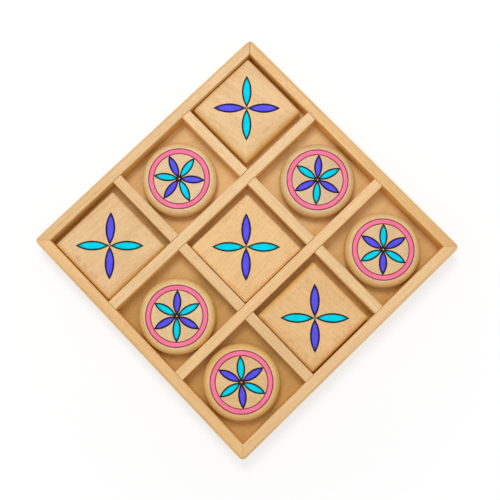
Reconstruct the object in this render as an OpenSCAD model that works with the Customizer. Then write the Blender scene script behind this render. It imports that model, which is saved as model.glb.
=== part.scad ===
// Tic-tac-toe board: a mitred tray, a cross-lapped grid of dividers and nine loose playing pieces.
// Millimetres, +Z up. The origin is under the middle of the tray, on the table.
// +X is the right of the board and +Y its back.

/* [Tray] */
// Outside length of each side of the tray
tray_side = 168; // [150:1:230]
// Height of the tray, from the table to the tops of its rails
tray_h = 16; // [15:0.5:28]
// Thickness of the four rails
rail_t = 6.5; // [5:0.5:10]
// Radius of the upright outer corners
corner_r = 2.6; // [2.5:0.1:5]
// Radius of the rounded edge along the outside of the rail tops
outer_edge_r = 2; // [0.4:0.2:2.4]
// Radius of the eased edge along the inside of the rail tops
inner_edge_r = 0.7; // [0.2:0.1:1.5]
// Width of the edge that is eased off on each side of a mitre, on top
mitre_ease = 0.2; // [0.1:0.05:0.5]

/* [Base panel] */
// Thickness of the base panel
base_t = 4; // [2:0.5:6]
// How far the rabbet that takes the base panel is cut into each rail
rabbet_w = 3; // [2.4:0.2:4]
// Clearance between the edge of the base panel and the rabbet
base_gap = 0.15; // [0.05:0.05:0.4]

/* [Dividers] */
// Thickness of the four dividers
divider_t = 6; // [4:0.5:9]
// How far the tops of the dividers lie below the tops of the rails
divider_drop = 0.2; // [0:0.1:2]
// Radius of the eased top edges of the dividers
divider_edge_r = 0.7; // [0.2:0.1:1.5]
// Clearance between the ends of the dividers and the rails
divider_end_gap = 0.1; // [0:0.05:0.4]
// Clearance on every face of the halved joints where the dividers cross
lap_gap = 0.08; // [0.02:0.02:0.3]

/* [Playing pieces] */
// Thickness of all nine playing pieces
piece_t = 9.5; // [6:0.5:14]
// Play on each side of a square piece in the middle of its cell
square_play = 1.92; // [1:0.02:5]
// Radius of the upright corners of the square pieces
square_corner_r = 1.2; // [0.6:0.2:4]
// Radius of the rounded edges round both faces of the square pieces
square_edge_r = 1.4; // [0.4:0.2:3]
// Play on each side of a round piece in the middle of its cell
round_play = 2.4; // [1:0.01:5]
// Radius of the bull-nosed edge of the round pieces
round_edge_r = 3.75; // [1:0.25:4.5]
// Least gap left between a playing piece and the wall that it has slid up to
wall_gap = 0.3; // [0.1:0.05:0.8]

/* [Burnt outlines] */
// Width of the lines burnt round the petals
line_w = 0.7; // [0.4:0.1:1]
// Width of the circles burnt along both edges of a round piece's ring
ring_line_w = 0.5; // [0.3:0.05:1]
// Depth of the burnt lines
line_depth = 0.4; // [0.2:0.1:1]
// Width of a square piece's petals, over their outlines
square_petal_w = 5.4; // [3:0.2:7]
// Width of a round piece's petals, over their outlines
round_petal_w = 4.6; // [2.4:0.2:5.4]
// Distance from the middle of a motif to the inner tips of its petals
heart_r = 0.6; // [0.5:0.1:3]
// Distance from the middle of a motif to the outer tips of a square piece's petals
square_petal_reach = 19; // [12:0.2:21]
// Width of the ring round the petals of a round piece, over its two circles
ring_w = 3.25; // [1.6:0.05:5]
// Margin of flat wood between the ring and the bull-nosed edge
ring_margin = 0.2; // [0.05:0.05:3]

/* [Pins] */
// Diameter of the pins
pin_d = 1.2; // [0.8:0.1:1.6]
// Diameter of the pins' heads
pin_head_d = 2.2; // [1.8:0.1:3]
// Thickness of the pins' heads
pin_head_t = 0.5; // [0.3:0.1:1]
// How far the heads are punched below the wood
pin_sink = 0.6; // [0.3:0.1:1]
// Clearance round a pin in its hole
pin_gap = 0.04; // [0.02:0.01:0.1]
// Length of the corner pins
corner_pin_l = 16; // [12:1:24]
// Length of the pins under the base panel
base_pin_l = 12; // [8:0.5:13]
// Distance between the two base pins along each rail
base_pin_pitch = 96; // [60:2:110]

/* [Hidden] */
$fn = 96;
over = 1;

// The square pieces' cells as [column, row] from the middle cell, the way that each piece has slid
// in its cell, from -1 to 1, and how far its hand-drawn motif is off the piece's middle
square_cells = [[-1, 1], [0, 0], [-1, -1], [1, 0]];
square_leans = [[-1, 0], [0.95, -1], [0.7, -1], [0.7, -1]];
square_marks = [[-1.05, 0.85], [-0.5, 0.3], [-0.15, -0.45], [1.25, 0.1]];
// The round pieces' cells and leans, and the turn of each one's petals
round_cells = [[-1, 0], [0, 1], [1, 1], [0, -1], [1, -1]];
round_leans = [[0.13, -0.7], [0.76, 0.28], [0.81, -0.44], [1, -1], [-0.26, -0.69]];
round_turns = [41, 13, 74, 15, 79];

inner_side = tray_side - 2 * rail_t;
cell = (inner_side - 2 * divider_t) / 3;
pitch = cell + divider_t;
panel_side = inner_side + 2 * (rabbet_w - base_gap);
divider_h = tray_h - base_t - divider_drop;
divider_l = inner_side - 2 * divider_end_gap;
lap_z = base_t + divider_h / 2;
square_side = cell - 2 * square_play;
round_r = cell / 2 - round_play;
ring_r = round_r - round_edge_r - ring_margin;
ring_inner_r = ring_r - ring_w;
pin_low_z = base_t + (tray_h - base_t) / 3;
pin_high_z = base_t + (tray_h - base_t) * 2 / 3;

rail_colour = [0.92, 0.76, 0.55];
divider_colour = [0.94, 0.81, 0.64];
panel_colour = [0.80, 0.63, 0.42];
square_colour = [0.88, 0.73, 0.55];
round_colour = [0.85, 0.74, 0.54];
steel_colour = [0.62, 0.62, 0.64];

// What is cut off a square corner of a profile to round it to radius r; the corner is at [r, r]
module corner_waste(r) {
    difference() {
        square(r + over);
        circle(r);
    }
}

// A profile w wide, centred, and h high from zero, with its top corners rounded to radius r
module eased_profile(w, h, r) {
    difference() {
        translate([-w / 2, 0])
            square([w, h]);
        for (side = [0, 1])
            mirror([side, 0])
                translate([w / 2 - r, h - r])
                    corner_waste(r);
    }
}

// A centred rectangle with four rounded corners
module rounded_rect(w, h, r) {
    difference() {
        square([w, h], center = true);
        for (side_x = [0, 1], side_y = [0, 1])
            mirror([side_x, 0])
                mirror([0, side_y])
                    translate([w / 2 - r, h / 2 - r])
                        corner_waste(r);
    }
}

// Lays a profile's width along Y and its height up, and runs it along X for the length l, centred
module run_along_x(l) {
    translate([-l / 2, 0, 0])
        rotate([90, 0, 90])
            linear_extrude(l)
                children();
}

// What is cut off the tray's front right corner, so that the post and the rounded edge over it turn
// the corner together
module tray_corner_waste() {
    translate([tray_side / 2 - corner_r, corner_r - tray_side / 2, 0])
        difference() {
            translate([0, -corner_r - over, -over])
                cube([corner_r + over, corner_r + over, tray_h + 2 * over]);
            rotate_extrude()
                difference() {
                    square([corner_r, tray_h]);
                    translate([corner_r - outer_edge_r, tray_h - outer_edge_r])
                        corner_waste(outer_edge_r);
                }
        }
}

// Section of a rail: its outer face at zero, its inner face at rail_t, its foot rabbeted
module rail_profile() {
    difference() {
        square([rail_t, tray_h]);
        translate([rail_t - rabbet_w, -over])
            square([rabbet_w + over, base_t + over]);
        translate([rail_t - inner_edge_r, tray_h - inner_edge_r])
            corner_waste(inner_edge_r);
        translate([outer_edge_r, tray_h - outer_edge_r])
            mirror([1, 0])
                corner_waste(outer_edge_r);
    }
}

// What is eased off along both of the tray's diagonals, on top of the mitres
module mitre_easing() {
    for (turn = [45, 135])
        rotate(turn)
            translate([0, 0, tray_h])
                run_along_x(2 * tray_side)
                    polygon([[-mitre_ease - over, over], [0, -mitre_ease], [mitre_ease + over, over]]);
}

// The front rail before its corners are rounded: mitred at both ends by the tray's diagonals
module rail_blank() {
    intersection() {
        translate([0, -tray_side / 2, 0])
            run_along_x(tray_side)
                rail_profile();
        linear_extrude(tray_h)
            polygon([[0, 0], [-tray_side, -tray_side], [tray_side, -tray_side]]);
    }
}

// A pin driven up from z = 0, the surface of the wood, with its head punched below it
module pin(l) {
    point_l = pin_d;
    translate([0, 0, pin_sink]) {
        cylinder(h = pin_head_t, d = pin_head_d);
        translate([0, 0, pin_head_t])
            cylinder(h = l - pin_head_t - point_l, d = pin_d);
        translate([0, 0, l - point_l])
            cylinder(h = point_l, d1 = pin_d, d2 = pin_d / 4);
    }
}

// The hole for that pin
module pin_hole(l) {
    translate([0, 0, -over])
        cylinder(h = over + pin_sink + pin_head_t + pin_gap, d = pin_head_d + 2 * pin_gap);
    cylinder(h = pin_sink + l + pin_gap, d = pin_d + 2 * pin_gap);
}

// Puts its children at the two pins of the front right corner: the low one comes from the right
// and the high one from the front, and each crosses the mitre into the other rail
module at_corner_pins() {
    translate([tray_side / 2, -(tray_side - rail_t) / 2, pin_low_z])
        rotate([0, -90, 0])
            children();
    translate([(tray_side - rail_t) / 2, -tray_side / 2, pin_high_z])
        rotate([-90, 0, 0])
            children();
}

// Puts its children at the two base pins of the front rail
module at_rail_base_pins() {
    for (side = [-1, 1])
        translate([side * base_pin_pitch / 2, -(inner_side + rabbet_w) / 2, 0])
            children();
}

// Puts its children at the four crossings of the dividers
module at_crossings() {
    for (side_x = [-1, 1], side_y = [-1, 1])
        translate([side_x * pitch / 2, side_y * pitch / 2, 0])
            children();
}

// A rail of the tray: 0 is the front one, and each turn takes the next one counter-clockwise
module rail(turns) {
    color(rail_colour)
        rotate(90 * turns)
            difference() {
                rail_blank();
                mitre_easing();
                for (turn = [0, -90])
                    rotate(turn) {
                        tray_corner_waste();
                        at_corner_pins()
                            pin_hole(corner_pin_l);
                    }
                at_rail_base_pins()
                    pin_hole(base_pin_l);
            }
}

module base_panel() {
    color(panel_colour)
        difference() {
            translate([-panel_side / 2, -panel_side / 2, 0])
                cube([panel_side, panel_side, base_t]);
            for (turn = [0:3])
                rotate(90 * turn)
                    at_rail_base_pins()
                        pin_hole(base_pin_l);
            at_crossings()
                pin_hole(base_pin_l);
        }
}

// A divider along X, standing on the base panel, before it is notched
module divider_blank() {
    translate([0, 0, base_t])
        run_along_x(divider_l)
            eased_profile(divider_t, divider_h, divider_edge_r);
}

// The notches of a divider along X, from z_low to z_high at both of its crossings
module divider_notches(z_low, z_high) {
    notch_w = divider_t + 2 * lap_gap;
    for (side = [-1, 1])
        translate([side * pitch / 2 - notch_w / 2, -divider_t, z_low])
            cube([notch_w, 2 * divider_t, z_high - z_low]);
}

// A divider along Y, whole on top and notched from below; side is -1 for the left one
module whole_divider(side) {
    color(divider_colour)
        difference() {
            translate([side * pitch / 2, 0, 0])
                rotate(90)
                    difference() {
                        divider_blank();
                        divider_notches(base_t - over, lap_z + lap_gap);
                    }
            at_crossings()
                pin_hole(base_pin_l);
        }
}

// A divider along X, notched from above for the two that cross it; side is -1 for the front one
module notched_divider(side) {
    color(divider_colour)
        difference() {
            translate([0, side * pitch / 2, 0])
                difference() {
                    divider_blank();
                    divider_notches(lap_z, tray_h + over);
                }
            at_crossings()
                pin_hole(base_pin_l);
        }
}

module corner_pins() {
    color(steel_colour)
        for (turn = [0:3])
            rotate(90 * turn)
                at_corner_pins()
                    pin(corner_pin_l);
}

module base_pins() {
    color(steel_colour) {
        for (turn = [0:3])
            rotate(90 * turn)
                at_rail_base_pins()
                    pin(base_pin_l);
        at_crossings()
            pin(base_pin_l);
    }
}

// A lens between two tips on the X axis, w wide: two equal arcs, each drawn in by inset
module lens(tip_1, tip_2, w, inset) {
    half_l = (tip_2 - tip_1) / 2;
    arc_r = (half_l * half_l + w * w / 4) / w;
    translate([tip_1 + half_l, 0])
        intersection() {
            translate([0, arc_r - w / 2])
                circle(arc_r - inset);
            translate([0, w / 2 - arc_r])
                circle(arc_r - inset);
        }
}

// The burnt outlines of count petals round the origin, w wide, their outer tips at reach
module petal_lines(count, reach, w) {
    for (i = [0:count - 1])
        rotate(360 * i / count)
            difference() {
                lens(heart_r, reach, w, 0);
                lens(heart_r, reach, w, line_w);
            }
}

// The two burnt circles on the edges of a round piece's ring
module ring_lines() {
    for (r = [ring_r, ring_inner_r + ring_line_w])
        difference() {
            circle(r);
            circle(r - ring_line_w);
        }
}

// Cuts its children, which are flat lines, into the top of a playing piece
module burn_in() {
    translate([0, 0, piece_t - line_depth])
        linear_extrude(line_depth + over)
            children();
}

// Puts its children on the floor of a cell, slid by the lean through the free part of their play
module in_cell(place, lean, play) {
    slide = play - wall_gap;
    translate([place[0] * pitch + lean[0] * slide, place[1] * pitch + lean[1] * slide, base_t])
        children();
}

// A bar along X with the side view of a square piece: rounded over and under both long edges
module edge_rounded_bar() {
    translate([0, 0, piece_t / 2])
        run_along_x(square_side + 2 * over)
            rounded_rect(square_side, piece_t, square_edge_r);
}

// A square block, planed to its plan and to the same side view from both sides
module square_blank() {
    intersection() {
        translate([0, 0, -over])
            linear_extrude(piece_t + 2 * over)
                rounded_rect(square_side, square_side, square_corner_r);
        edge_rounded_bar();
        rotate(90)
            edge_rounded_bar();
    }
}

// A square piece, number i in the lists, with four petals along its diagonals
module square_piece(i) {
    color(square_colour)
        in_cell(square_cells[i], square_leans[i], square_play)
            difference() {
                square_blank();
                burn_in()
                    translate(square_marks[i])
                        rotate(45)
                            petal_lines(4, square_petal_reach, square_petal_w);
            }
}

// A round piece, number i in the lists, bull-nosed, with six petals in a ring
module round_piece(i) {
    color(round_colour)
        in_cell(round_cells[i], round_leans[i], round_play)
            difference() {
                rotate_extrude()
                    difference() {
                        square([round_r, piece_t]);
                        translate([round_r - round_edge_r, piece_t - round_edge_r])
                            corner_waste(round_edge_r);
                        translate([round_r - round_edge_r, round_edge_r])
                            mirror([0, 1])
                                corner_waste(round_edge_r);
                    }
                burn_in() {
                    ring_lines();
                    rotate(round_turns[i])
                        petal_lines(6, ring_inner_r + ring_line_w / 2, round_petal_w);
                }
            }
}

rail(0);  // rail_front
rail(1);  // rail_right
rail(2);  // rail_back
rail(3);  // rail_left
base_panel();
whole_divider(-1);  // divider_left
whole_divider(1);  // divider_right
notched_divider(-1);  // divider_front
notched_divider(1);  // divider_back
corner_pins();
base_pins();
square_piece(0);  // square_piece_1
square_piece(1);  // square_piece_2
square_piece(2);  // square_piece_3
square_piece(3);  // square_piece_4
round_piece(0);  // round_piece_1
round_piece(1);  // round_piece_2
round_piece(2);  // round_piece_3
round_piece(3);  // round_piece_4
round_piece(4);  // round_piece_5
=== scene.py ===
import math

import bpy
from mathutils import Matrix, Vector, geometry, noise


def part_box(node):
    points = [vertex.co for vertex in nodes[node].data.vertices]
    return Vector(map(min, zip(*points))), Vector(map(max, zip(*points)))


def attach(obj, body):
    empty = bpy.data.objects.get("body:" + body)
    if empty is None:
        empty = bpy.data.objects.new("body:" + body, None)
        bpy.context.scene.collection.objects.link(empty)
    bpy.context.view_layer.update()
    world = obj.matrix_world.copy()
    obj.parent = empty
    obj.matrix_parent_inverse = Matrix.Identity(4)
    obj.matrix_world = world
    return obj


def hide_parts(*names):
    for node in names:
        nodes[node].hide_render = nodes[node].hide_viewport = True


# The looks of the tic-tac-toe board. Lengths in this script are in millimetres, in the row's frame,
# and become metres where a mesh, a lamp or the camera is made.
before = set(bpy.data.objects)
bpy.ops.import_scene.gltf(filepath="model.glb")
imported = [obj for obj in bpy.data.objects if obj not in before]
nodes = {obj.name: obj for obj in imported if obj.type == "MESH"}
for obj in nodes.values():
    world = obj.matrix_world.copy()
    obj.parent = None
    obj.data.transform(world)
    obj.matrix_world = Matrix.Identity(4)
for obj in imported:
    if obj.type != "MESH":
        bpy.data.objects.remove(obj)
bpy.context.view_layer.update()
noise.seed_set(7)  # noise_vector starts from the clock without it
MM = 0.001

# The part's own sizes, as its source has them
TRAY_SIDE, TRAY_H, RAIL_T, BASE_T, DIVIDER_T = 168.0, 16.0, 6.5, 4.0, 6.0
PIECE_T = 9.5
CELL = (TRAY_SIDE - 2 * RAIL_T - 2 * DIVIDER_T) / 3
PITCH = CELL + DIVIDER_T
SQUARE_HALF = CELL / 2 - 1.92
SQUARE_CORNER_R, SQUARE_EDGE_R = 1.2, 1.4
ROUND_R, ROUND_EDGE_R = CELL / 2 - 2.4, 3.75
LINE_W, RING_LINE_W, LINE_DEPTH = 0.7, 0.5, 0.4
HEART_R = 0.6  # from the middle of a motif to the inner tips of its petals
RING_R = ROUND_R - ROUND_EDGE_R - 0.2
RING_INNER_R = RING_R - 3.25
SQUARE_PETAL_W, SQUARE_REACH = 5.4, 19.0
ROUND_PETAL_W, ROUND_REACH = 4.6, RING_INNER_R + RING_LINE_W / 2

# The playing pieces' faces: they lie a hair under the part's own, so that their waviness stays in
# its box
WAVE = 0.03
FACE_Z = PIECE_T - 0.03
ROUND_STEPS = 144

# Paint: how far it stands over the wood, how far it falls to its edge and how suddenly
PETAL_PAINT = (0.06, 0.16, 32)
RING_PAINT = (0.05, 0.15, 8)
WHITE = (1, 1, 1, 1)
TO_MM = (1000, 1000, 1000)

# Each square piece: its node, the middle of its motif from its own middle, the turns of its violet
# and its cyan petals, the direction of its grain, the tone of its wood, and how broad and how deep
# its top edge is sanded on its right, back, left and front
SQUARES = [
    ("square_piece_1", (-1.05, 0.85), (45.6, 225.6), (135.6, 315.6), 12, (226, 187, 135),
     ((5.6, 4.2), (2.4, 1.6), (2.2, 1.6), (4.6, 3.2))),
    ("square_piece_2", (-0.5, 0.3), (135.7, 315.7), (45.7, 225.7), 95, (230, 187, 129),
     ((2.2, 1.6), (2.2, 1.4), (1.8, 1.2), (1.3, 1.0))),
    ("square_piece_3", (-0.15, -0.45), (135, 316.6), (45.8, 225.8), 88, (224, 185, 134),
     ((4.7, 3.1), (2.8, 1.9), (2.2, 1.5), (3.2, 2.1))),
    ("square_piece_4", (1.25, 0.1), (135.6, 315.6), (45.6, 225.6), 6, (226, 182, 125),
     ((4.1, 2.8), (3.2, 2.2), (5.0, 3.7), (3.2, 2.3))),
]
# Each round piece: its node, the turns of its violet and its cyan petals, its grain and its tone
ROUNDS = [
    ("round_piece_1", (42, 160, 279), (100, 219, 341), 70, (221, 188, 148)),
    ("round_piece_2", (14, 132, 252), (73, 191, 312), 20, (214, 181, 143)),
    ("round_piece_3", (74, 193, 314), (14, 134, 253), 110, (218, 182, 136)),
    ("round_piece_4", (16, 135, 256), (75, 196, 316), 150, (221, 188, 140)),
    ("round_piece_5", (80, 198, 320), (21, 139, 260), 40, (219, 181, 128)),
]


def colour(red, green, blue):
    """A display colour, 0 to 255, as the linear colour that a shader takes."""
    linear = []
    for value in (red, green, blue):
        v = value / 255
        linear.append(v / 12.92 if v <= 0.04045 else ((v + 0.055) / 1.055) ** 2.4)
    return (*linear, 1.0)


class Graph:
    """The node tree of a material or a world. node adds a node and returns it, and every other call
    returns the socket that comes out."""

    def __init__(self, owner):
        self.owner = owner
        owner.use_nodes = True
        self.tree = owner.node_tree
        self.tree.nodes.clear()

    def node(self, kind, inputs, **settings):
        made = self.tree.nodes.new("ShaderNode" + kind)
        for key, value in settings.items():
            setattr(made, key, value)
        for key, value in inputs.items():
            if isinstance(value, bpy.types.NodeSocket):
                self.tree.links.new(value, made.inputs[key])
            else:
                made.inputs[key].default_value = value
        return made

    def math(self, operation, a, b=0.0, clamp=False):
        return self.node("Math", {0: a, 1: b}, operation=operation, use_clamp=clamp).outputs[0]

    def vector(self, operation, a, b):
        return self.node("VectorMath", {0: a, 1: b}, operation=operation).outputs[0]

    def length(self, a):
        return self.node("VectorMath", {0: a}, operation="LENGTH").outputs["Value"]

    def noise(self, where, detail, rough=0.5):
        inputs = {"Vector": where, "Scale": 1.0, "Detail": detail, "Roughness": rough}
        return self.node("TexNoise", inputs).outputs[0]

    def line_noise(self, value, scale):
        inputs = {"W": value, "Scale": scale, "Detail": 1.0}
        return self.node("TexNoise", inputs, noise_dimensions="1D").outputs[0]

    def ease(self, value, low, high, start=0.0, end=1.0):
        """start below low, end above high, and a smooth step between them."""
        inputs = {"Value": value, "From Min": low, "From Max": high, "To Min": start, "To Max": end}
        return self.node("MapRange", inputs, interpolation_type="SMOOTHSTEP").outputs[0]

    def mix(self, factor, a, b, blend="MIX"):
        made = self.node("Mix", {0: factor, 6: a, 7: b}, data_type="RGBA", blend_type=blend)
        return made.outputs[2]

    def weigh(self, terms):
        """The sum of (value, weight) pairs."""
        total = None
        for value, weight in terms:
            part = self.math("MULTIPLY", value, weight)
            total = part if total is None else self.math("ADD", total, part)
        return total

    def surface(self, height, distance, **inputs):
        """The principled shader and the output, with a bump of that height in metres."""
        bump = self.node("Bump", {"Height": height, "Strength": 1.0, "Distance": distance}).outputs[0]
        named = {key.replace("_", " "): value for key, value in inputs.items()}
        shader = self.node("BsdfPrincipled", {"Normal": bump, **named})
        self.node("OutputMaterial", {"Surface": shader.outputs[0]})
        return self.owner

    def shown(self):
        """1 for what the camera sees, also in a gloss or through glass, and 0 for all other light."""
        path = self.node("LightPath", {}).outputs
        indirect = self.math("MAXIMUM", path["Is Glossy Ray"], path["Is Transmission Ray"])
        return self.math("MAXIMUM", path["Is Camera Ray"], indirect)


def wood(name, tone, *, turn, heart, seed, spacing, rings, fibre, streaks, flecks, patches, specks=0.0,
         rough=0.5, gloss=0.3, shaded_below=0.0, shade_tint=(1.14, 1.05, 0.70, 1.0), shaded_walls=False, front_right_tint=None,
         burnt=False, seam=None):
    """Planed wood. The grain runs along turn degrees from +X, and heart is the middle of the trunk,
    across the grain and up from the piece, so the rings bend through it as through real wood.
    spacing is the width of a ring, and rings, fibre, streaks, flecks, patches and specks say how
    strongly each of these darkens the wood. Below the height shaded_below the colour shade_tint is
    multiplied in: painted shade, warmer and more saturated, on the sides and edges under the top.
    Inside the tray, shaded_walls wood takes painted shade, darker and yellower down to the cell
    floors. front_right_tint gives a darker colour that the wood's top takes towards the tray's front
    right.
    burnt wood is black along its burnt lines, and seam gives the dark lines of the joints."""
    g = Graph(bpy.data.materials.new(name))
    mean = colour(*tone)
    tone = tuple(min(1.0, c * k) for c, k in zip(mean, (1.09, 1.13, 1.19, 1.0)))
    dark = tuple(c * k for c, k in zip(mean, (0.82, 0.74, 0.62, 1.0)))
    start = (seed * 61.7 % 173, 0.0, 0.0)
    spot = g.node("TexCoord", {}).outputs["Object"]
    place = g.node("Mapping", {"Vector": spot, "Location": start, "Rotation": (0, 0, math.radians(-turn)),
                               "Scale": TO_MM}).outputs[0]
    slow = g.vector("MULTIPLY", place, (0.007, 0.035, 0.035))
    drift = g.node("TexNoise", {"Vector": slow, "Scale": 1.0, "Detail": 2.0}).outputs["Color"]
    drift = g.vector("MULTIPLY", g.vector("SUBTRACT", drift, (0.5, 0.5, 0.5)), (0.0, 9.0, 9.0))
    bent = g.vector("ADD", place, drift)

    # Growth rings: they darken slowly from spring to autumn and end at once
    across = g.vector("ADD", g.vector("MULTIPLY", bent, (0.0, 1.0, 1.0)), (0.0, heart[0], heart[1]))
    depth = g.math("DIVIDE", g.length(across), spacing)
    year = g.math("ADD", depth, g.math("MULTIPLY", g.line_noise(depth, 0.45), 2.4))
    season = g.math("FRACT", year)
    late = g.math("MULTIPLY", g.math("POWER", season, 2.6), g.ease(season, 0.86, 1.0, 1.0, 0.0))
    vigour = g.node("TexWhiteNoise", {"W": g.math("FLOOR", year)}, noise_dimensions="1D").outputs[0]
    ring = g.math("MULTIPLY", late, g.math("ADD", g.math("MULTIPLY", vigour, 0.9), 0.35))

    # Fibres, soft streaks, short dark pores and broad patches
    fibres = g.noise(g.vector("MULTIPLY", bent, (0.05, 2.4, 2.4)), detail=3.0, rough=0.6)
    streak = g.noise(g.vector("MULTIPLY", bent, (0.035, 0.55, 0.55)), detail=2.0)
    aside = g.vector("ADD", bent, (31.0, 7.0, 3.0))
    pore = g.noise(g.vector("MULTIPLY", aside, (0.28, 3.2, 3.2)), detail=1.0)
    pore = g.ease(pore, 0.60, 0.72)
    patch = g.noise(g.vector("MULTIPLY", place, (0.03, 0.07, 0.07)), detail=3.0, rough=0.55)
    shade = g.weigh([(ring, rings), (g.math("SUBTRACT", fibres, 0.5), 2 * fibre), (pore, flecks),
                     (g.math("SUBTRACT", streak, 0.5), 2 * streaks),
                     (g.math("SUBTRACT", patch, 0.5), 2 * patches)])
    if specks:
        speck = g.noise(g.vector("MULTIPLY", bent, (0.7, 1.3, 1.3)), detail=2.0, rough=0.7)
        shade = g.math("ADD", shade, g.math("MULTIPLY", g.math("SUBTRACT", speck, 0.5), 2 * specks))
    shade = g.math("ADD", shade, 0.3, clamp=True)
    tint = g.mix(shade, tone, dark)
    roughness = g.weigh([(fibres, 0.16), (pore, 0.12), (patch, 0.10)])
    roughness = g.math("ADD", roughness, rough - 0.13)
    height = g.weigh([(fibres, 0.55), (ring, 0.35), (pore, -0.9)])

    # Painted shade on the sides and on the walls, and the panel's darker corner, by the height and place
    # in the tray
    parts = g.node("SeparateXYZ", {0: g.vector("MULTIPLY", spot, TO_MM)}).outputs
    # Where the painted shade of the sides and edges falls, by height
    if shaded_below:
        low = g.ease(parts[2], shaded_below - 0.6, shaded_below, 1.0, 0.0)
    # The rails' outer faces keep less of that painted shade towards their foot
    if shaded_walls:
        out = g.math("MAXIMUM", g.math("ABSOLUTE", parts[0]), g.math("ABSOLUTE", parts[1]))
        outer = g.math("MULTIPLY", g.ease(out, TRAY_SIDE / 2 - 1.5, TRAY_SIDE / 2 - 0.3),
                       g.ease(parts[2], TRAY_H - 5.0, TRAY_H - 1.5, 0.65, 0.0))
        low = g.math("MULTIPLY", low, g.math("SUBTRACT", 1.0, outer))
    # Painted shade: the sides and edges below that height take a warmer, more saturated tint
    if shaded_below:
        tint = g.mix(low, tint, shade_tint, "MULTIPLY")
    # Painted shade: the inner walls grow darker and yellower down to the cell floors
    if shaded_walls:
        wall_foot_shade = g.ease(parts[2], BASE_T, TRAY_H - 1.0, 1.0, 0.0)
        wall = TRAY_SIDE / 2 - RAIL_T
        tint = g.mix(g.math("MULTIPLY", wall_foot_shade, g.ease(out, wall, wall + 0.4, 1.0, 0.0)), tint,
                     (0.98, 0.90, 0.50, 1.0), "MULTIPLY")
    # The panel's top is darker towards the tray's front right
    if front_right_tint is not None:
        corner = g.math("SUBTRACT", parts[0], parts[1])
        sway = g.math("MULTIPLY", g.math("SUBTRACT", patch, 0.5), 90.0)
        upper = g.ease(parts[2], BASE_T - 1.5, BASE_T - 0.3)
        share = g.math("MULTIPLY", upper, g.ease(g.math("ADD", corner, sway), -95.0, 75.0))
        tint = g.mix(share, tint, front_right_tint, "MULTIPLY")
    if seam is not None:
        # Glue and dust in the joints, given as a function of the place in millimetres
        tint = g.mix(seam(g, g.vector("MULTIPLY", spot, TO_MM)), tint, colour(96, 58, 26))
    if burnt:
        burn = g.node("Attribute", {}, attribute_name="burn").outputs["Fac"]
        soot = g.noise(g.vector("MULTIPLY", spot, (1800, 1800, 1800)), detail=2.0)
        burn = g.math("ADD", burn, g.math("MULTIPLY", g.math("SUBTRACT", soot, 0.5), 0.25))
        brown = g.ease(burn, 0.08, 0.42)
        tint = g.mix(brown, tint, colour(118, 44, 46))
        tint = g.mix(g.ease(burn, 0.5, 0.86), tint, colour(12, 8, 9))
        roughness = g.math("ADD", roughness, g.math("MULTIPLY", brown, 0.22))
    return g.surface(height, 0.00005, Base_Color=tint, Roughness=roughness, Specular_IOR_Level=gloss)


def near(g, value, places, reach):
    """1 where value is at one of the places, down to 0 at reach from them."""
    nearest = None
    for at in places:
        gap = g.math("ABSOLUTE", g.math("SUBTRACT", value, at))
        nearest = gap if nearest is None else g.math("MINIMUM", nearest, gap)
    return g.ease(nearest, reach * 0.35, reach, 1.0, 0.0)


def mitre_seam(g, place):
    """The mitres of the four rails, which gape a little at the back left corner and are tight at the
    others, and the faint lines where the dividers butt against them."""
    parts = g.node("SeparateXYZ", {0: place}).outputs
    x, y = (g.math("ABSOLUTE", part) for part in parts[:2])
    mitre = near(g, g.math("SUBTRACT", x, y), [0.0], 0.32)
    corner = g.ease(g.math("SUBTRACT", parts[1], parts[0]), 40.0, 150.0, 0.0, 0.85)
    inner = near(g, g.math("MAXIMUM", x, y), [TRAY_SIDE / 2 - RAIL_T], 0.12)
    sides = [PITCH / 2 - DIVIDER_T / 2, PITCH / 2 + DIVIDER_T / 2]
    low = g.math("MINIMUM", x, y)
    beside = g.math("MULTIPLY", g.ease(low, sides[0] - 0.2, sides[0]),
                    g.ease(low, sides[1], sides[1] + 0.2, 1.0, 0.0))
    butt = g.math("MULTIPLY", inner, beside)
    return g.math("MAXIMUM", g.math("MULTIPLY", mitre, corner), g.math("MULTIPLY", butt, 0.15))


def lap_seam(g, place):
    """Both sides of the crossings, on the dividers along X."""
    x = g.math("ABSOLUTE", g.node("SeparateXYZ", {0: place}).outputs[0])
    half = DIVIDER_T / 2 + 0.08
    return g.math("MULTIPLY", near(g, x, [PITCH / 2 - half, PITCH / 2 + half], 0.34), 0.2)


def end_seam(g, place):
    """The ends of the dividers along Y."""
    y = g.math("ABSOLUTE", g.node("SeparateXYZ", {0: place}).outputs[1])
    return g.math("MULTIPLY", near(g, y, [TRAY_SIDE / 2 - RAIL_T - 0.1], 0.25), 0.15)


def paint(name, tone, dark):
    """Thin acrylic with brush marks along the stroke. stroke holds millimetres along and across it,
    and a number of its own; rim rises to 1 along its edges."""
    g = Graph(bpy.data.materials.new(name))
    stroke = g.node("Attribute", {}, attribute_name="stroke").outputs["Vector"]
    rim = g.node("Attribute", {}, attribute_name="rim").outputs["Fac"]
    spot = g.node("TexCoord", {}).outputs["Object"]
    marks = g.noise(g.vector("MULTIPLY", stroke, (0.16, 2.6, 3.7)), detail=3.0, rough=0.6)
    pool = g.noise(g.vector("MULTIPLY", stroke, (0.22, 0.3, 5.1)), detail=1.0)
    speck = g.noise(g.vector("MULTIPLY", spot, (2600, 2600, 2600)), detail=1.0)
    shade = g.weigh([(g.math("SUBTRACT", marks, 0.5), 0.7), (g.math("SUBTRACT", pool, 0.5), 0.5),
                     (g.math("SUBTRACT", speck, 0.5), 0.2), (g.ease(rim, 0.62, 1.0), 0.75)])
    shade = g.math("ADD", shade, 0.28, clamp=True)
    height = g.weigh([(marks, 0.7), (speck, 0.3)])
    roughness = g.math("ADD", g.math("MULTIPLY", marks, 0.2), 0.34)
    return g.surface(height, 0.00004, Base_Color=g.mix(shade, tone, dark), Roughness=roughness,
                     Specular_IOR_Level=0.02)


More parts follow.
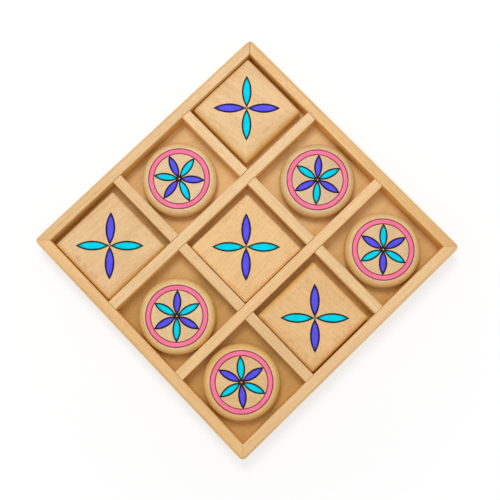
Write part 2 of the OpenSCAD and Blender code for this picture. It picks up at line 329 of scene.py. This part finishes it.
def steel(name):
    """Plain bright steel of the pins, with turning marks and a little tarnish."""
    g = Graph(bpy.data.materials.new(name))
    spot = g.node("TexCoord", {}).outputs["Object"]
    tarnish = g.noise(g.vector("MULTIPLY", spot, (900, 900, 900)), detail=3.0)
    marks = g.noise(g.vector("MULTIPLY", spot, (300, 300, 9000)), detail=2.0)
    tint = g.mix(g.ease(tarnish, 0.35, 0.75), colour(186, 187, 190), colour(120, 110, 98))
    roughness = g.math("ADD", g.math("MULTIPLY", tarnish, 0.35), 0.2)
    return g.surface(marks, 0.00002, Base_Color=tint, Metallic=1.0, Roughness=roughness)


def make_object(name, points, faces, body, materials):
    """A smooth mesh in the row's frame, from points in millimetres, that rides on a body."""
    mesh = bpy.data.meshes.new(name)
    mesh.from_pydata([Vector(p) * MM for p in points], [], faces)
    mesh.validate()
    mesh.polygons.foreach_set("use_smooth", [True] * len(mesh.polygons))
    for material in materials:
        mesh.materials.append(material)
    piece = bpy.data.objects.new(name, mesh)
    bpy.context.scene.collection.objects.link(piece)
    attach(piece, body)
    return piece


def give(piece, name, values, kind="FLOAT"):
    """Stores one value for each point of the piece's mesh."""
    layer = piece.data.attributes.new(name, kind, "POINT")
    if kind == "FLOAT":
        layer.data.foreach_set("value", values)
    else:
        layer.data.foreach_set("vector", [part for value in values for part in value])


class Petal:
    """A lens between two tips on a ray from the middle of a motif: two equal arcs."""

    def __init__(self, middle, turn, reach, width):
        self.middle = Vector(middle)
        self.turn = Matrix.Rotation(math.radians(turn), 2)
        self.half = (reach - HEART_R) / 2
        self.centre = HEART_R + self.half
        self.arc_r = (self.half ** 2 + width ** 2 / 4) / width
        self.off = self.arc_r - width / 2

    def out(self, x, y):
        """The point at x along the petal's ray and y across it."""
        return self.middle + self.turn @ Vector((x, y))

    def inset(self, point):
        """How far inside the outline a point is, and below zero outside it."""
        p = self.turn.transposed() @ (Vector(point) - self.middle)
        x = p.x - self.centre
        return self.arc_r - math.hypot(x, abs(p.y) + self.off)

    def width_at(self, x, inset):
        """Half of the width at x from the lens's middle, where it is drawn in by inset."""
        r = self.arc_r - inset
        return math.sqrt(max(r * r - x * x, 0.0)) - self.off

    def half_length(self, inset):
        return math.sqrt((self.arc_r - inset) ** 2 - self.off ** 2)

    def loop(self, inset, step):
        """The lens drawn in by inset as a closed loop of points."""
        half = self.half_length(inset)
        count = max(int(2 * half / step), 6)
        xs = [-half * math.cos(math.pi * i / count) for i in range(count + 1)]
        upper = [(x, self.width_at(x, inset)) for x in xs]
        lower = [(x, -y) for x, y in reversed(upper[1:-1])]
        return [self.out(self.centre + x, y) for x, y in upper + lower]


def circle(r, count):
    """Points once round a circle about the origin."""
    steps = [2 * math.pi * i / count for i in range(count)]
    return [Vector((r * math.cos(a), r * math.sin(a))) for a in steps]


def rounded_square(half, r, along, corner, insets):
    """A square with rounded corners, drawn in by an inset on its right, back, left and front: along
    points on each side and corner + 1 on each corner, once round."""
    reach = [half - inset for inset in insets]
    points = []
    for quarter in range(4):
        turn = Matrix.Rotation(math.pi / 2 * quarter, 2)
        side, before, after = reach[quarter], reach[quarter - 1], reach[(quarter + 1) % 4]
        for i in range(corner + 1):
            a = math.pi / 2 * i / corner - math.pi / 2
            points.append(turn @ Vector((side - r + r * math.cos(a), -before + r + r * math.sin(a))))
        for i in range(1, along + 1):
            y = -(before - r) + (before + after - 2 * r) * i / (along + 1)
            points.append(turn @ Vector((side, y)))
    return points


def burnt_lines(petals, circles, knot):
    """For a point: how deep it is burnt, as a share of the full depth, and how dark it is. Round the
    heart of the motif the tips of the petals run together and singe the wood out to knot."""
    def at(point):
        depth = dark = 0.0
        for petal in petals:
            s = abs(petal.inset(point) - LINE_W / 2) / (LINE_W / 2)
            depth = max(depth, min(1.0, max(0.0, (1.04 - s) / 0.62)))
            dark = max(dark, min(1.0, max(0.0, (1.28 - s) / 0.30)))
        for r in circles:
            s = abs(point.length - r) / (RING_LINE_W / 2)
            depth = max(depth, 0.8 * min(1.0, max(0.0, (1.04 - s) / 0.7)))
            dark = max(dark, 0.6 * min(1.0, max(0.0, (1.35 - s) / 0.40)))
        r = (Vector(point) - petals[0].middle).length
        singe = min(1.0, max(0.0, (knot - r) / 0.6)) * min(1.0, max(0.0, (r - 0.25) / 0.35))
        return depth * depth * (3 - 2 * depth), max(dark, 0.76 * singe)
    return at


def scatter(half, step, seed, keep):
    """Loose points on a slightly shaken grid, step apart and out to half on each side, where keep
    says that there is room."""
    points = []
    count = int(2 * half / step)
    for i in range(count + 1):
        for j in range(count + 1):
            p = Vector(((i - count / 2) * step, (j - count / 2) * step))
            shake = noise.noise_vector(Vector((p.x * 3.1, p.y * 3.1, seed)))
            p += Vector((shake.x, shake.y)) * step * 0.3
            if keep(p):
                points.append(p)
    return points


def playing_piece(node, outline, skirt, petals, circles, knot, room, middle, material):
    """A playing piece in place of its node: its top is cut by the burnt lines, and rows of points go
    down its sides.

    outline is the edge of the flat top, which reaches out to room, and skirt gives for each row down
    to the underside its points and their heights. The middle of the motif is singed out to knot."""
    name = node + "_block"
    loops = []
    for petal in petals:
        loops += [petal.loop(inset, 0.5) for inset in (-0.32, -0.08, 0.0, 0.16, 0.35, 0.54, LINE_W)]
    for r in circles:
        half = RING_LINE_W / 2
        loops += [circle(r + side, 200) for side in (-half - 0.07, -half, -0.1, 0.1, half, half + 0.07)]
    loops += [[petals[0].middle + p for p in circle(r, 24)] for r in (0.25, 0.42)]
    points = list(outline)
    edges = [(i, (i + 1) % len(outline)) for i in range(len(outline))]
    for loop in loops:
        first = len(points)
        points += loop
        edges += [(first + i, first + (i + 1) % len(loop)) for i in range(len(loop))]
    points += scatter(room, 2.2, len(name), lambda p: all(
        not -0.5 < petal.inset(p) < LINE_W + 0.2 for petal in petals) and all(
        abs(p.length - r) > 0.6 for r in circles) and inside(p, outline))
    flat, _, faces, origins, _, _ = geometry.delaunay_2d_cdt(points, edges, [], 1, 1e-5, True)
    burn = burnt_lines(petals, circles, knot)
    verts, darks = [], []
    for p in flat:
        depth, dark = burn(p)
        wave = noise.fractal(Vector((p.x * 0.25, p.y * 0.25, middle.x)), 0.9, 2.0, 3) * WAVE
        verts.append((p.x, p.y, FACE_Z + wave - depth * LINE_DEPTH))
        darks.append(dark)
    found = {}
    for i, sources in enumerate(origins):
        for source in sources:
            if source < len(outline):
                found[source] = i
    row = [found[i] for i in range(len(outline))]
    faces = [list(face) for face in faces]
    count = len(outline)
    for ring, heights in skirt:
        first = len(verts)
        for p, height in zip(ring, heights):
            a = math.atan2(p.y, p.x)
            sway = noise.noise(Vector((2.2 * math.cos(a), 2.2 * math.sin(a), middle.x + 0.05 * height)))
            p = p * (1 + (sway * 0.09 - 0.05) / p.length)
            verts.append((p.x, p.y, height))
            darks.append(0.0)
        for i in range(count):
            j = (i + 1) % count
            faces.append([row[i], first + i, first + j, row[j]])
        row = [first + i for i in range(count)]
    faces.append(list(reversed(row)))
    piece = make_object(name, [(x + middle.x, y + middle.y, z + BASE_T) for x, y, z in verts], faces,
                        node, [material])
    give(piece, "burn", darks)
    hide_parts(node)


def inside(p, outline):
    """Whether a point is well inside a convex outline that runs counter-clockwise."""
    for i, a in enumerate(outline):
        b = outline[(i + 1) % len(outline)]
        if (b - a).cross(p - a) < 0.35 * (b - a).length:
            return False
    return True


def film(rows, closed):
    """A thin closed film from rows of (x, y, z, u, v, number, rim): the rows' own surface on top, and
    a flat one under it. Returns its points, faces and strokes."""
    width = len(rows[0])
    count = len(rows)
    verts = [Vector(p[:3]) for row in rows for p in row]
    low = min(v.z for v in verts) - 0.05
    verts += [Vector((p[0], p[1], low)) for row in rows for p in row]
    under = width * count
    faces = []
    for i in range(count if closed else count - 1):
        k = (i + 1) % count
        for j in range(width - 1):
            a, b, c, d = i * width + j, k * width + j, k * width + j + 1, i * width + j + 1
            faces.append([a, b, c, d])
            faces.append([under + d, under + c, under + b, under + a])
        for j in (0, width - 1):
            a, b = i * width + j, k * width + j
            side = [a, under + a, under + b, b]
            faces.append(side if j == 0 else list(reversed(side)))
    if not closed:
        for i in (0, count - 1):
            for j in range(width - 1):
                a, b = i * width + j, i * width + j + 1
                side = [b, under + b, under + a, a]
                faces.append(side if i == 0 else list(reversed(side)))
    strokes = [p[3:6] for row in rows for p in row] * 2
    return verts, faces, strokes


def paint_height(edge, shape):
    """The height of paint, where edge goes from 0 in its middle to 1 along its edges."""
    rise, fall, power = shape
    return FACE_Z + rise - fall * edge ** power


def petal_film(petal, number):
    """The paint inside a petal: a hair proud of the wood, its edges down in the burnt line."""
    inset = LINE_W * 0.95
    half = petal.half_length(inset)
    rows = []
    for i in range(29):
        x = -half * math.cos(math.pi * i / 28)
        wide = max(petal.width_at(x, inset), 0.0)
        row = []
        for j in range(9):
            v = math.sin(math.pi / 2 * (j / 4 - 1))
            wobble = 1 + 0.04 * noise.noise(Vector((x * 0.8, v * 2, number * 3.3)))
            edge = max(abs(v), abs(x) / half) if wide > 0 else 1.0
            p = petal.out(petal.centre + x, wide * v * wobble)
            row.append((p.x, p.y, paint_height(edge, PETAL_PAINT), x, wide * v, number, edge))
        rows.append(row)
    return rows


def ring_film(number):
    """The paint of a round piece's ring, its edges down in the two burnt circles."""
    rows = []
    low, high = RING_INNER_R + RING_LINE_W * 0.62, RING_R - RING_LINE_W * 0.62
    for i in range(180):
        a = -2 * math.pi * i / 180
        row = []
        for j in range(9):
            v = math.sin(math.pi / 2 * (j / 4 - 1))
            shake = 0.05 * noise.noise(Vector((math.cos(a) * 7, math.sin(a) * 7, number + v)))
            r = (low + high) / 2 + v * (high - low) / 2 + shake
            row.append((r * math.cos(a), r * math.sin(a), paint_height(abs(v), RING_PAINT),
                        abs(a) * r, r - low, number, abs(v)))
        rows.append(row)
    return rows


def paint_piece(node, films, middle):
    """One object with all the paint of a playing piece. films holds (rows, closed, paint), where
    paint is a place in PAINTS."""
    verts, faces, strokes, rims, shades = [], [], [], [], []
    for rows, closed, material in films:
        points, made, stroke = film(rows, closed)
        first = len(verts)
        verts += [p + middle + Vector((0, 0, BASE_T)) for p in points]
        faces += [[first + i for i in face] for face in made]
        shades += [material] * len(made)
        strokes += stroke
        rims += [p[6] for row in rows for p in row] * 2
    piece = make_object(node + "_paint", verts, faces, node, PAINTS)
    piece.data.polygons.foreach_set("material_index", shades)
    give(piece, "stroke", strokes, "FLOAT_VECTOR")
    give(piece, "rim", rims)


# Woods of the tray: each piece is cut from its own place in the board. A tone is the mean display
# colour of the bare wood.
RAILS = {"rail_front": (0, (225, 180, 120)), "rail_right": (90, (226, 185, 131)),
         "rail_back": (0, (221, 174, 110)), "rail_left": (90, (217, 175, 117))}
DIVIDERS = {"divider_left": (90, end_seam, (226, 189, 137)),
            "divider_right": (90, end_seam, (229, 187, 131)),
            "divider_front": (0, lap_seam, (222, 182, 127)),
            "divider_back": (0, lap_seam, (228, 190, 137))}
PANEL = (231, 191, 130)


def dress(node, material):
    """Gives a CAD node its material."""
    nodes[node].data.materials.clear()
    nodes[node].data.materials.append(material)


# The rails and dividers take painted shade on their sides below the top and on their inner walls down to
# the cell floors
for number, (name, (turn, tone)) in enumerate(RAILS.items()):
    dress(name, wood(
        name + "_wood", tone, turn=turn, heart=(95 + 9 * number, -30 - 7 * number), seed=number + 1,
        spacing=1.9, rings=0.5, fibre=0.45, streaks=0.35, flecks=0.25, patches=0.25, rough=0.4,
        gloss=0.5, shaded_below=TRAY_H - 0.4, shaded_walls=True, seam=mitre_seam))
for number, (name, (turn, seam, tone)) in enumerate(DIVIDERS.items()):
    dress(name, wood(
        name + "_wood", tone, turn=turn, heart=(60 + 13 * number, -22 + 5 * number), seed=number + 11,
        spacing=1.5, rings=0.35 if turn else 0.7, fibre=0.45, streaks=0.4, flecks=0.25, patches=0.2,
        rough=0.42, gloss=0.4, shaded_below=TRAY_H - 0.6, shaded_walls=True, seam=seam))
dress("base_panel", wood(
    "base_panel_wood", PANEL, turn=90, heart=(40, -130), seed=21, spacing=3.2, rings=0.25, fibre=0.25,
    streaks=0.3, flecks=0.2, patches=0.5, specks=0.25, rough=0.52, front_right_tint=(0.76, 0.69, 0.46, 1.0)))
for name in ("corner_pins", "base_pins"):
    dress(name, steel(name + "_steel"))

PAINTS = [paint("violet_paint", colour(102, 94, 250), colour(56, 47, 176)),
          paint("cyan_paint", colour(0, 228, 250), colour(0, 150, 172)),
          paint("pink_paint", colour(255, 136, 173), colour(206, 70, 104))]
VIOLET, CYAN, PINK = range(3)


def middle_of(node):
    """The middle of a CAD node, seen from above, in millimetres."""
    low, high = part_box(node)
    return Vector(((low.x + high.x) / 2, (low.y + high.y) / 2, 0.0)) / MM


def edge_depth(p, edges):
    """How deep the sanded edge is in the direction of p, between the two sides that it lies between."""
    a = math.atan2(p.y, p.x)
    along_x = max(math.cos(a), 0.0) ** 4 * edges[0][1] + max(-math.cos(a), 0.0) ** 4 * edges[2][1]
    along_y = max(math.sin(a), 0.0) ** 4 * edges[1][1] + max(-math.sin(a), 0.0) ** 4 * edges[3][1]
    return (along_x + along_y) / (math.cos(a) ** 4 + math.sin(a) ** 4)


def petal_films(petals, violet_count, number):
    """The paint films of a motif, whose first petals are violet and the others cyan."""
    return [(petal_film(petal, number + k), False, VIOLET if k < violet_count else CYAN)
            for k, petal in enumerate(petals)]


# What the wood of all playing pieces has in common
PIECE_LOOK = {"rings": 0.2, "fibre": 0.3, "streaks": 0.3, "patches": 0.4, "specks": 0.45, "burnt": True}

# The square pieces: planed blocks with softened edges and four petals
for number, (node, mark, violets, cyans, grain, tone, edges) in enumerate(SQUARES):
    middle = middle_of(node)
    petals = [Petal(mark, turn, SQUARE_REACH, SQUARE_PETAL_W) for turn in violets + cyans]
    face_r, foot_r = 0.6, 0.7
    outline = rounded_square(SQUARE_HALF, face_r, 20, 5, [wide for wide, deep in edges])
    skirt = []
    for i in range(1, 11):
        a = math.pi / 2 * i / 10
        ring = rounded_square(SQUARE_HALF, face_r + (SQUARE_CORNER_R - face_r) * math.sin(a), 20, 5,
                              [wide * (1 - math.sin(a)) for wide, deep in edges])
        skirt.append((ring, [FACE_Z - edge_depth(p, edges) * (1 - math.cos(a)) for p in ring]))
    for i in range(7):
        a = math.pi / 2 * i / 6
        ring = rounded_square(SQUARE_HALF, foot_r + (SQUARE_CORNER_R - foot_r) * math.cos(a), 20, 5,
                              [SQUARE_EDGE_R * (1 - math.cos(a))] * 4)
        skirt.append((ring, [SQUARE_EDGE_R * (1 - math.sin(a))] * len(ring)))
    # Its sides and sanded edges take a painted shade, yellower than its top
    material = wood(node + "_wood", tone, turn=grain, heart=(30 + 12 * number, -26 - 9 * number),
                    seed=number + 31, spacing=2.4, flecks=0.25, shaded_below=BASE_T + PIECE_T - 0.6,
                    shade_tint=(0.98, 0.95, 0.62, 1.0), **PIECE_LOOK)
    playing_piece(node, outline, skirt, petals, [], 1.1, SQUARE_HALF, middle, material)
    paint_piece(node, petal_films(petals, len(violets), number * 4), middle)

# The round pieces: turned discs with a bull-nosed edge, a ring and six petals
for number, (node, violets, cyans, grain, tone) in enumerate(ROUNDS):
    middle = middle_of(node)
    petals = [Petal((0, 0), turn, ROUND_REACH, ROUND_PETAL_W) for turn in violets + cyans]
    flat_r = ROUND_R - ROUND_EDGE_R
    skirt = []
    for i in range(1, 11):
        a = math.pi / 2 * i / 10
        skirt.append((circle(flat_r + ROUND_EDGE_R * math.sin(a), ROUND_STEPS),
                      [FACE_Z - ROUND_EDGE_R * (1 - math.cos(a))] * ROUND_STEPS))
    for i in range(11):
        a = math.pi / 2 * i / 10
        skirt.append((circle(flat_r + ROUND_EDGE_R * math.cos(a), ROUND_STEPS),
                      [ROUND_EDGE_R * (1 - math.sin(a))] * ROUND_STEPS))
    # Its bull-nosed rim and sides take a painted shade, yellower than its flat top
    material = wood(node + "_wood", tone, turn=grain, heart=(26 + 9 * number, -30 - 8 * number),
                    seed=number + 41, spacing=2.2, flecks=0.3, shaded_below=BASE_T + PIECE_T + 0.06,
                    shade_tint=(1.0, 0.95, 0.67, 1.0), **PIECE_LOOK)
    circles = [RING_R - RING_LINE_W / 2, RING_INNER_R + RING_LINE_W / 2]
    playing_piece(node, circle(flat_r, ROUND_STEPS), skirt, petals, circles, 2.1, flat_r, middle,
                  material)
    films = petal_films(petals, len(violets), 20 + number * 7)
    films.append((ring_film(60 + number), True, PINK))
    paint_piece(node, films, middle)

# The floor, in metres: white, with a hole under the tray so that its underside gets light in views
# from below. The hole's corners are cut, and the floor lies just under the tray.
far, hole, cut, drop = 3.0, TRAY_SIDE / 2 * MM - 0.0005, 0.002, 0.0001
ring = [(-far, -far), (far, -far), (far, far), (-far, far)]
ring += [(cut - hole, -hole), (hole - cut, -hole), (hole, cut - hole), (hole, hole - cut),
         (hole - cut, hole), (cut - hole, hole), (-hole, hole - cut), (-hole, cut - hole)]
sides = [[i, (i + 1) % 4, 5 + 2 * i, 4 + 2 * i] for i in range(4)]
cuts = [[i, 4 + 2 * i, 4 + (2 * i + 7) % 8] for i in range(4)]
floor_mesh = bpy.data.meshes.new("floor")
floor_mesh.from_pydata([(x, y, -drop) for x, y in ring], [], sides + cuts)
floor = bpy.data.objects.new("floor", floor_mesh)
bpy.context.scene.collection.objects.link(floor)
# The camera sees it white, with its own shade mixed in near the tray, where the shadow falls. Its
# back is clear.
g = Graph(bpy.data.materials.new("floor_white"))
matt = g.node("BsdfDiffuse", {"Color": (0.92, 0.92, 0.92, 1)}).outputs[0]
white = g.node("Emission", {"Color": WHITE, "Strength": 1.05}).outputs[0]
share = g.ease(g.length(g.node("TexCoord", {}).outputs["Object"]), 0.12, 0.28, 0.58, 1.0)
top = g.node("MixShader", {0: g.math("MULTIPLY", g.shown(), share), 1: matt, 2: white}).outputs[0]
clear = g.node("BsdfTransparent", {}).outputs[0]
behind = g.node("NewGeometry", {}).outputs["Backfacing"]
g.node("OutputMaterial", {"Surface": g.node("MixShader", {0: behind, 1: top, 2: clear}).outputs[0]})
floor_mesh.materials.append(g.owner)

# Light: a soft white room, a broad lamp overhead and a smaller one from the back left. Each lamp has
# its width, its strength in watts and its place, in metres.
g = Graph(bpy.data.worlds.new("room"))
bpy.context.scene.world = g.owner
room = g.node("Background", {"Color": WHITE, "Strength": 0.62}).outputs[0]
backdrop = g.node("Background", {"Color": WHITE, "Strength": 1.0}).outputs[0]
g.node("OutputWorld", {0: g.node("MixShader", {0: g.shown(), 1: room, 2: backdrop}).outputs[0]})

for name, size, energy, location in (("side_lamp", 0.3, 2.3, (-0.266, 0.154, 0.76)),
                                     ("top_lamp", 0.8, 0.9, (0.0, 0.0, 0.82))):
    lamp = bpy.data.lights.new(name, "AREA")
    lamp.shape = "DISK"
    lamp.size = size
    lamp.energy = energy
    lamp_object = bpy.data.objects.new(name, lamp)
    lamp_object.location = Vector(location)
    lamp_object.rotation_euler = lamp_object.location.to_track_quat("Z", "Y").to_euler()
    bpy.context.scene.collection.objects.link(lamp_object)

# Camera: above the board and a little towards its front right, the board's back left corner up
camera = bpy.data.cameras.new("camera")
camera.sensor_width = 36.0
camera.lens = 57.78
camera.clip_start = 0.01
camera.clip_end = 20.0
camera_object = bpy.data.objects.new("camera", camera)
right, up = Vector((0.69506, 0.71892, -0.00683)), Vector((-0.71293, 0.69044, 0.12261))
back = right.cross(up).normalized()
up = back.cross(right).normalized()
place = Matrix((right.normalized(), up, back)).transposed().to_4x4()
place.translation = Vector((0.0455, -0.03703, 0.45907))
camera_object.matrix_world = place
bpy.context.scene.collection.objects.link(camera_object)
bpy.context.scene.camera = camera_object

bpy.context.scene.view_settings.view_transform = "Standard"
